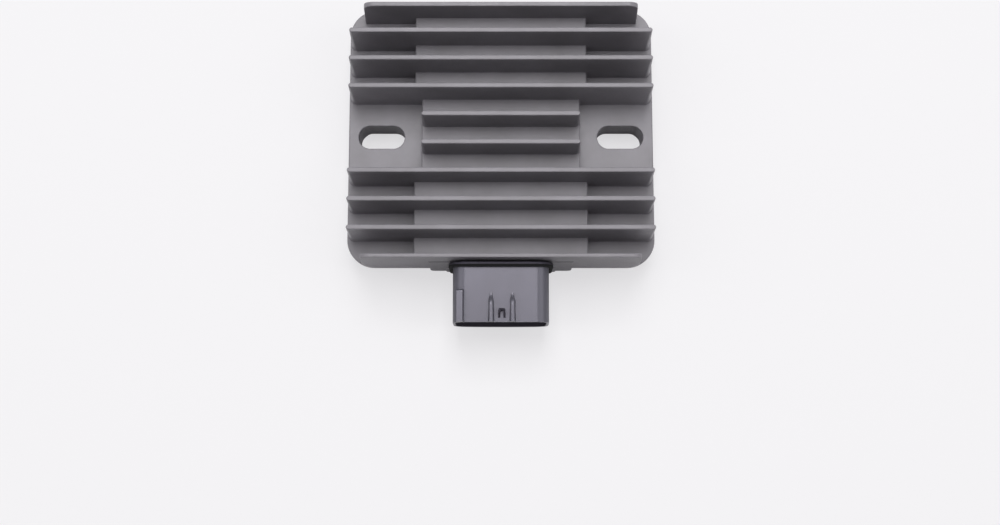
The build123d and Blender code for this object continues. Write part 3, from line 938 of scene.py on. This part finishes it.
    def hollow_core(self) -> Body:
        """Models what the hollow underneath takes out, round the slots' bosses.

        Returns:
            The core: both depths and the window to the connector.
        """
        half, front, back, top, radius = self.hollow
        core = close_up(rounded_block("hollow_core", (-half, front, -1), (half, back, top),
                                      radius))
        reach = self.slot_length / 2 + self.slot_wall
        for side in (-1, 1):
            ends = (side * (self.slot_x - reach), side * (self.slot_x + 2 * reach))
            combine(core, self.upright_bar("boss", ends, self.slot_width / 2 + self.slot_wall,
                                           (-2.0, top + 1.0)), Join.CUT)
        half, front, back, top, radius = self.deep
        combine(core, close_up(rounded_block("deeper", (-half, front, -1.5), (half, back, top),
                                             radius)), Join.UNITE)
        window = window_block(self.seat_front - 1, front + 3, HAIR)
        pick(Kind.EDGE, lambda e: runs_along(e, Axis.Y))
        bevel(self.window_edge, 2)
        combine(core, close_up(window), Join.UNITE)
        return core

    def soften_slots(self, casting: Body) -> None:
        """Rounds both rims of the mounting slots.

        Args:
            casting: The casting, with its slots cut.
        """
        straight = (self.slot_length - self.slot_width) / 2

        def on_rim(vertex: bmesh.types.BMVert) -> bool:
            """Tells whether a vertex lies on a slot's wall, at its top or bottom.

            Args:
                vertex: The vertex.

            Returns:
                Whether it does.
            """
            x, y, z = centre(vertex)
            along = max(abs(abs(x) - self.slot_x) - straight, 0)
            level = min(abs(z - self.floor), abs(z)) < HAIR
            return level and abs(math.hypot(along, y) - self.slot_width / 2) < 0.06

        open_again(casting)
        pick(Kind.EDGE, lambda e: all(on_rim(v) for v in e.verts)
             and max(abs(f.normal.z) for f in e.link_faces) > MOSTLY
             and min(abs(f.normal.z) for f in e.link_faces) < 1 - MOSTLY)
        bevel(self.slot_edge, 3)
        bpy.ops.object.mode_set(mode="OBJECT")


# The connector

@dataclass
class Connector:
    """The six-way connector's moulding: shell, ribs, latch and key.

    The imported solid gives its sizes. What it adds is the moulding's softness: rounded
    rims and ribs, the sloping face of the catch and the small mark on the socket's floor.
    """

    half: float = 15.6
    low: float = 3.9
    top: float = 24.3
    bow: float = 0.6
    back: float = -45.15
    mouth: float = -63.0
    wall: float = 0.85
    socket: float = 14.0
    top_round: float = 4.2
    bottom_round: float = 5.0
    rim_edge: float = 0.08
    spigot_end: float = -37.95
    # How deep a rib's foot sinks into what it stands on
    sink: float = 0.4

    # The ribs on the socket's floor; the web is the level one's width and thickness
    rows_middle: float = 12.5
    rib_x: float = 5.4
    rib_width: float = 1.5
    rib_height: float = 11.75
    rib_rise: float = 3.0
    rib_edge: float = 0.12
    toe: float = 0.6
    toe_height: float = 1.9
    toe_edge: float = 0.5
    web: tuple[float, float] = (22.0, 0.9)

    # The two latch ribs: a wider foot, a ramp at the back that ends in a point
    latch_x: float = 0.3
    latch_spacing: float = 6.93
    latch_width: float = 1.4
    latch_foot: float = 0.45
    latch_top: float = 26.9
    latch_back: float = -52.9
    latch_ramp: float = 3.6
    latch_point: float = 0.35
    latch_shoulder: float = 1.1
    latch_edge: float = 0.42

    # The catch between them: its width, front and back, and the lip at its front
    catch: tuple[float, float, float] = (2.3, -61.6, -58.7)
    catch_top: float = 26.2
    catch_lip: float = 0.3
    catch_wall: float = 0.65
    catch_round: float = 0.7

    # The keying rib: its left and right side, and the rounds of its end, right and
    # left edge; its root's right edge is raised
    key: tuple[float, float] = (-14.25, -11.85)
    key_back: float = -52.6
    key_draft: float = 0.4
    key_top: float = 27.0
    key_foot: float = 1.5
    key_root: float = 1.1
    key_edges: Triple = (0.8, 0.5, 0.3)

    # The first pin's mark: X, Z and size
    mark: Triple = (10.75, 15.0, 1.0)
    mark_rise: float = 0.5
    # How far from the socket's middle its walls begin, and how deep the rim's sheen goes before
    # the painted shade starts
    walls_from: float = 8.5
    rim_depth: float = 0.3

    @property
    def part_lines(self) -> Triple:
        """Gives where the tube is parted beside the ribs' ends, along Y."""
        return self.key_back + 0.3, self.key_back - 0.3, self.latch_back + 1.0

    @property
    def socket_floor(self) -> float:
        """Gives where the socket's floor lies, along Y."""
        return self.mouth + self.socket

    @property
    def middle(self) -> float:
        """Gives the tube's middle height."""
        return (self.low - self.bow + self.top) / 2

    def build(self, blades: Iterable[Body]) -> Body:
        """Models the moulding.

        Args:
            blades: The terminals' solids, which get their places in it.

        Returns:
            The piece that stands for the shell's solid.
        """
        shell = self.shell()
        combine(shell, close_up(window_block(self.back - HAIR, self.spigot_end)), Join.UNITE)
        for body in self.ribs():
            combine(shell, body, Join.UNITE)
        for blade in blades:
            combine(shell, close_up(open_copy(blade)), Join.CUT)
        self.dress(shell)
        finish_faces(shell)
        return shell

    def ribs(self) -> Iterator[Body]:
        """Models, one by one, all that stands on the tube and on the socket's floor.

        Yields:
            Each body.
        """
        yield from self.socket_ribs()
        for side in (-1, 1):
            yield self.latch_rib(side)
        yield self.catch_arch()
        yield self.key_rib()
        yield self.pin_mark()

    def shell(self) -> Body:
        """Models the tube with its bowed lower side, its rim and its socket.

        Returns:
            The tube, parted where ribs end so that its shading stays even.
        """
        block = start_block("connector_body", (-self.half, self.mouth, self.low),
                            (self.half, self.back, self.top))
        for level, radius in ((self.top, self.top_round), (self.low, self.bottom_round)):
            pick(Kind.EDGE, lambda e: runs_along(e, Axis.Y) and near(centre(e).z, level))
            bevel(radius, 10)
        pick(Kind.EDGE, lambda e: runs_along(e, Axis.X) and centre(e).z < self.low + NEAR)
        bpy.ops.mesh.subdivide(number_cuts=11)
        flat = self.half - self.bottom_round
        for vertex in bmesh.from_edit_mesh(block.data).verts:
            x, _, z = centre(vertex)
            if z < self.low + NEAR and abs(x) < flat:
                vertex.co.z -= self.bow * MM * (1 - (x / flat) ** 2)
        bmesh.update_edit_mesh(block.data)
        pick(Kind.FACE, lambda f: looks(f, FORWARD))
        inset(self.wall, 0)
        extrude(0, self.socket, 0)
        pick(Kind.EDGE, lambda e: all(near(centre(v).y, self.mouth) for v in e.verts)
             and any(looks(f, FORWARD) for f in e.link_faces)
             and any(self.looks_inwards(centre(f), f.normal) for f in e.link_faces))
        bevel(self.rim_edge, 1)
        for line in self.part_lines:
            part_across(line)
        return close_up(block)

    def looks_inwards(self, place: Vector, normal: Vector) -> bool:
        """Tells whether a face of the tube looks towards the tube's middle."""
        return normal.x * place.x + normal.z * (place.z - self.middle) < -MM

    def socket_ribs(self) -> Iterator[Body]:
        """Models the two upright ribs with their toes, and the level one between the rows.

        Yields:
            Each rib and toe.
        """
        front, deep = self.socket_floor - self.rib_rise, self.socket_floor + self.sink
        half = self.rib_width / 2
        low, high = (self.rows_middle + k * self.rib_height / 2 for k in (-1, 1))
        for side in (-1, 1):
            x = side * self.rib_x
            yield self.soft_rib("upright_rib", (x - half, front, low), (x + half, deep, high))
            inner, outer = x + side * (half - NEAR), x + side * (half + self.toe)
            for tip, root in ((low, low + self.toe_height), (high, high - self.toe_height)):
                toe = start_block("toe", (min(inner, outer), front, min(tip, root)),
                                  (max(inner, outer), deep, max(tip, root)))
                pick(Kind.EDGE, lambda e: runs_along(e, Axis.Y)
                     and near(centre(e).z, root) and near(centre(e).x, outer))
                bevel(self.toe_edge, 1)
                yield close_up(toe)
        wide, thick = (size / 2 for size in self.web)
        yield self.soft_rib("level_rib", (-wide, front + 0.02, self.rows_middle - thick),
                            (wide, deep, self.rows_middle + thick))

    def soft_rib(self, name: str, low: Triple, high: Triple) -> Body:
        """Models a small rib with softened front edges.

        Args:
            name: The new object's name.
            low: Its lowest corner.
            high: Its highest corner.

        Returns:
            The rib.
        """
        rib = start_block(name, low, high)
        pick(Kind.FACE, lambda f: looks(f, FORWARD))
        bevel(self.rib_edge, 2)
        return close_up(rib)

    def latch_rib(self, side: int) -> Body:
        """Models one latch rib: its inner end runs down in a ramp and its top is rounded.

        Args:
            side: -1 for the left one, 1 for the right one.

        Returns:
            The rib.
        """
        x = self.latch_x + side * self.latch_spacing / 2
        half = self.latch_width / 2 + self.latch_foot
        rib = start_block("latch_rib", (x - half, self.mouth, self.top - self.sink),
                          (x + half, self.latch_back, self.latch_top))
        crest, heel = self.latch_top - NEAR, self.latch_back - NEAR
        pick(Kind.VERT, lambda v: centre(v).z > crest and centre(v).y > heel)
        move(0, -self.latch_ramp, 0)
        pick(Kind.EDGE, lambda e: runs_along(e, Axis.X) and centre(e).z > crest
             and centre(e).y > self.mouth + 1)
        bevel(self.latch_shoulder, 6)
        for vertex in bmesh.from_edit_mesh(rib.data).verts:
            above = max(vertex.co.z / MM - self.top, 0) / (self.latch_top - self.top)
            vertex.co.x -= math.copysign(self.latch_foot * MM * above, vertex.co.x - x * MM)
            if vertex.co.y > heel * MM:
                vertex.co.x = x * MM + (vertex.co.x - x * MM) * self.latch_point
        bmesh.update_edit_mesh(rib.data)
        pick(Kind.EDGE, lambda e: not runs_along(e, Axis.X)
             and max(centre(v).z for v in e.verts) > self.top + NEAR
             and max(centre(v).y for v in e.verts) > self.mouth + NEAR
             and len({round(f.normal.x) for f in e.link_faces}) > 1)
        bevel(self.latch_edge, 4, clamp=True)
        return close_up(rib)

    def catch_arch(self) -> Body:
        """Models the catch: a small arch in plan, its upper face sloping to the mouth.

        Returns:
            The catch.
        """
        width, front, back = self.catch
        left, right = (self.latch_x + k * width / 2 for k in (-1, 1))
        arch = start_block("catch", (left, front, self.top - self.sink),
                           (right, back, self.catch_top))
        pick(Kind.EDGE, lambda e: runs_along(e, Axis.Z) and near(centre(e).y, back))
        bevel(self.catch_round, 4)
        pick(Kind.VERT, lambda v: centre(v).z > self.top and near(centre(v).y, front))
        move(0, 0, self.top + self.catch_lip - self.catch_top)
        close_up(arch)
        notch = start_block("notch", (left + self.catch_wall, front - 1, self.top),
                            (right - self.catch_wall, back - self.catch_wall,
                             self.catch_top + 1))
        combine(arch, close_up(notch), Join.CUT)
        return arch

    def key_rib(self) -> Body:
        """Models the keying rib at the upper left corner, rounded on its right side.

        Returns:
            The rib.
        """
        left, right = self.key
        end_edge, right_edge, left_edge = self.key_edges
        rib = start_block("key_rib", (left, self.mouth, self.top - self.key_foot),
                          (right, self.key_back, self.key_top))
        pick(Kind.VERT, lambda v: near(centre(v).z, self.key_top) and near(centre(v).x, right))
        move(-self.key_draft, 0, 0)
        pick(Kind.VERT, lambda v: centre(v).z < self.top - 1 and near(centre(v).x, right))
        move(0, 0, self.key_root)
        pick(Kind.EDGE, lambda e: near(centre(e).z, self.key_top) and runs_along(e, Axis.X)
             and near(centre(e).y, self.key_back))
        bevel(end_edge, 5)
        pick(Kind.EDGE, lambda e: near(centre(e).z, self.key_top) and runs_along(e, Axis.Y)
             and centre(e).x > left + 0.5)
        bevel(right_edge, 5, clamp=True)
        pick(Kind.EDGE, lambda e: near(centre(e).z, self.key_top) and runs_along(e, Axis.Y)
             and near(centre(e).x, left))
        bevel(left_edge, 3, clamp=True)
        return close_up(rib)

    def pin_mark(self) -> Body:
        """Models the small raised triangle that tells the first pin, point downwards.

        Returns:
            The triangle.
        """
        x, z, size = self.mark
        deselect_all()
        bpy.ops.mesh.primitive_circle_add(
            vertices=3, radius=0.6 * size * MM, fill_type="NGON",
            location=in_metres((x, self.socket_floor + self.sink, z)),
            rotation=(math.pi / 2, 0, 0))
        mark = open_new("pin_mark")
        pick(Kind.FACE, lambda f: True)
        bpy.ops.transform.resize(value=(1, 1, -1))
        extrude(0, -(self.sink + self.mark_rise), 0)
        return close_up(mark)

    def dress(self, shell: Body) -> None:
        """Gives the moulding its satin finish, the socket and the catch a matt near-black painted
        shade, and the mark a light grey painted highlight.

        Args:
            shell: The moulding.
        """
        for finish in (Finishes.SHELL, Finishes.PAINTED_SHADE_PBT, Finishes.PAINTED_HIGHLIGHT_MARK):
            shell.data.materials.append(finish.material())
        for face in shell.data.polygons:
            place = face.center / MM
            # Faces inside the socket and on the catch get the near-black painted shade; the rim
            # and the rest keep the satin finish
            matt = self.in_socket(place, face.normal) or self.on_catch(place)
            # The raised first-pin mark takes the light grey painted highlight over either
            face.material_index = 2 if self.on_mark(place) else int(matt)

    def in_socket(self, place: Vector, normal: Vector) -> bool:
        """Tells whether a face belongs to the socket's floor or its walls.

        Args:
            place: The face's middle.
            normal: Where it looks.

        Returns:
            Whether it does.
        """
        if near(place.y, self.socket_floor) and abs(place.x) < self.half:
            return True
        return (self.mouth + self.rim_depth < place.y < self.socket_floor
                and abs(normal.y) < 0.5 and self.low - 1 < place.z < self.top
                and max(abs(place.x), abs(place.z - self.middle)) > self.walls_from
                and self.looks_inwards(place, normal))

    def on_catch(self, place: Vector) -> bool:
        """Tells whether a face belongs to the catch."""
        return (place.z > self.top + 0.02
                and abs(place.x - self.latch_x) < self.catch[0] / 2 + 0.05)

    def on_mark(self, place: Vector) -> bool:
        """Tells whether a face belongs to the first pin's mark."""
        x, z, size = self.mark
        return place.y < self.socket_floor and max(abs(place.x - x), abs(place.z - z)) < 0.7 * size


@dataclass
class Gasket:
    """The rubber gasket between the seat and the shell: a rounded lip and a thicker back.

    Its back fills the room that the plate's draft leaves above the seat, short of the
    plate itself, so a dark gap runs along its upper edge.
    """

    half: float = 17.0
    low: float = 1.9
    high: float = 25.7
    front: float = -45.15
    lip: float = -44.4
    back: float = -43.6
    corner: float = 5.6
    edge: float = 0.22

    def build(self) -> Body:
        """Models the gasket.

        Returns:
            The piece that stands for the gasket's solid.
        """
        ring = rounded_block("gasket_lip", (-self.half, self.front, self.low),
                             (self.half, self.back, self.high), self.corner, Axis.Y, 10)
        pick(Kind.EDGE, lambda e: not runs_along(e, Axis.Y))
        bevel(self.edge, 3)
        close_up(ring)
        combine(ring, close_up(window_block(self.front - 1, self.back + 1)), Join.CUT)
        open_again(ring)
        part_across(self.lip)
        close_up(ring)
        for finish in (Finishes.GASKET, Finishes.GASKET_PAINTED_SHADE):
            ring.data.materials.append(finish.material())
        finish_faces(ring)
        # Faces in front of the lip line get the near-black painted shade; the back keeps the
        # rubber's own colour
        for face in ring.data.polygons:
            face.material_index = int(face.center.y < self.lip * MM)
        return ring


# The studio

@dataclass(frozen=True)
class Lamp:
    """A soft box: its power, its size in metres, and its lean from upright in degrees."""

    power: float
    width: float
    depth: float
    right: float
    back: float


@dataclass
class Studio:
    """The paper floor, the lamps, the sky and the camera, in metres and degrees."""

    floor_size: float = 6.0
    floor_level: float = -0.05 * MM
    floor_colour: str = "#f0eff1"
    floor_glow: float = 0.72
    glow_near: float = 0.3
    glow_far: float = 0.9
    sky: float = 0.25
    lamp_far: float = 1.25
    lamps: tuple[Lamp, ...] = (Lamp(11.8, 0.55, 0.75, 0.0, 20.0), Lamp(3.8, 0.7, 0.9, -46.0, 2.0),
                               Lamp(3.8, 0.7, 0.9, 46.0, 2.0))
    camera_place: Triple = (0.0, -0.1001, 0.471)
    camera_tilt: float = 9.133
    lens: float = 50.245
    shift: tuple[float, float] = (-0.0009, -0.0476)

    def build(self) -> None:
        """Sets up everything around the part."""
        self.lay_floor()
        self.light_sky()
        self.hang_lamps()
        self.set_camera()

    def lay_floor(self) -> None:
        """Lays the pale paper that the part stands on.

        The camera sees part of its paleness as its own glow, so the shadow on it
        stays faint, and further out it fades into the white of the room.
        """
        deselect_all()
        bpy.ops.mesh.primitive_plane_add(size=self.floor_size, location=(0, 0, self.floor_level))
        floor = bpy.context.object
        floor.name = "paper_floor"
        # Uncoated paper: an even, sheenless white
        paper = bpy.data.materials.new("matt_paper")
        paper.use_nodes = True
        tree = paper.node_tree
        tree.nodes.clear()
        pale = linear(self.floor_colour)
        matt = add_node(tree, "BsdfDiffuse", {"Color": pale})
        place = add_node(tree, "TexCoord").outputs["Object"]
        away = add_node(tree, "VectorMath", {0: place}, operation="LENGTH").outputs["Value"]
        far = add_node(tree, "MapRange", {"Value": away, "From Min": self.glow_near,
                                          "From Max": self.glow_far}).outputs[0]
        hue = add_node(tree, "Mix", {"Factor": far, "A": pale, "B": linear("#ffffff")},
                       data_type="RGBA")
        glow = add_node(tree, "Emission", {"Color": hue.outputs["Result"]})
        share = add_node(tree, "MapRange", {"Value": far, "To Min": self.floor_glow,
                                            "To Max": 1.0}).outputs[0]
        seen = add_node(tree, "LightPath").outputs["Is Camera Ray"]
        share = add_node(tree, "Math", {0: share, 1: seen}, operation="MULTIPLY").outputs[0]
        mixed = add_node(tree, "MixShader", {0: share, 1: matt.outputs[0], 2: glow.outputs[0]})
        add_node(tree, "OutputMaterial", {"Surface": mixed.outputs[0]})
        floor.data.materials.append(paper)

    def light_sky(self) -> None:
        """Fills the room with even light; seen by the camera or in a gloss, it is white."""
        world = bpy.data.worlds.new("studio_sky")
        world.use_nodes = True
        tree = world.node_tree
        tree.nodes.clear()
        path = add_node(tree, "LightPath").outputs
        seen = path["Is Camera Ray"]
        for ray in ("Is Glossy Ray", "Is Transmission Ray"):
            seen = add_node(tree, "Math", {0: seen, 1: path[ray]}, operation="MAXIMUM").outputs[0]
        strength = add_node(tree, "MapRange", {"Value": seen, "To Min": self.sky, "To Max": 1.0})
        sky = add_node(tree, "Background", {"Color": linear("#ffffff"),
                                            "Strength": strength.outputs[0]})
        add_node(tree, "OutputWorld", {"Surface": sky.outputs[0]})
        bpy.context.scene.world = world

    def hang_lamps(self) -> None:
        """Hangs a soft box above the part, leaning to its back, and two faint ones beside it."""
        for number, box in enumerate(self.lamps, start=1):
            lamp = bpy.data.lights.new(f"soft_box_{number}", "AREA")
            lamp.shape = "RECTANGLE"
            lamp.size, lamp.size_y = box.width, box.depth
            lamp.energy = box.power
            way = Vector((slope(box.right), slope(box.back), 1)).normalized()
            hung = bpy.data.objects.new(lamp.name, lamp)
            hung.location = way * self.lamp_far
            hung.rotation_euler = way.to_track_quat("Z", "Y").to_euler()
            bpy.context.scene.collection.objects.link(hung)

    def set_camera(self) -> None:
        """Puts the camera where the photograph was taken from, high and a little in front."""
        lens = bpy.data.cameras.new("photo_camera")
        lens.lens = self.lens
        lens.sensor_width = 36.0
        lens.shift_x, lens.shift_y = self.shift
        lens.clip_start = 0.01
        camera = bpy.data.objects.new("photo_camera", lens)
        camera.location = self.camera_place
        camera.rotation_euler = (math.radians(self.camera_tilt), 0, 0)
        bpy.context.scene.collection.objects.link(camera)
        bpy.context.scene.camera = camera


def declare(piece: Body, finish: Finish, node: str) -> None:
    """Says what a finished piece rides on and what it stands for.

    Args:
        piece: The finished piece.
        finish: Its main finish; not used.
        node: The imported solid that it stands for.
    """
    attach(piece, "root")
    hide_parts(node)
    LOG.info("modelled %s for %s: %d faces", piece.name, node, len(piece.data.polygons))


def main() -> None:
    """Builds the scene."""
    logging.basicConfig(level=logging.INFO, format="%(message)s")
    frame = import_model()
    bpy.context.scene.view_settings.view_transform = "Standard"
    dress_nodes(frame["nodes"])
    casting = HeatSink().build()
    casting.data.materials.append(Finishes.CASTING.material())
    declare(casting, Finishes.CASTING, "heatsink_housing")
    blades = [node for name, node in frame["nodes"].items() if name.startswith("terminal_")]
    declare(Connector().build(blades), Finishes.SHELL, "connector_shell")
    declare(Gasket().build(), Finishes.GASKET, "connector_gasket")
    Studio().build()


if __name__ == "__main__":
    main()
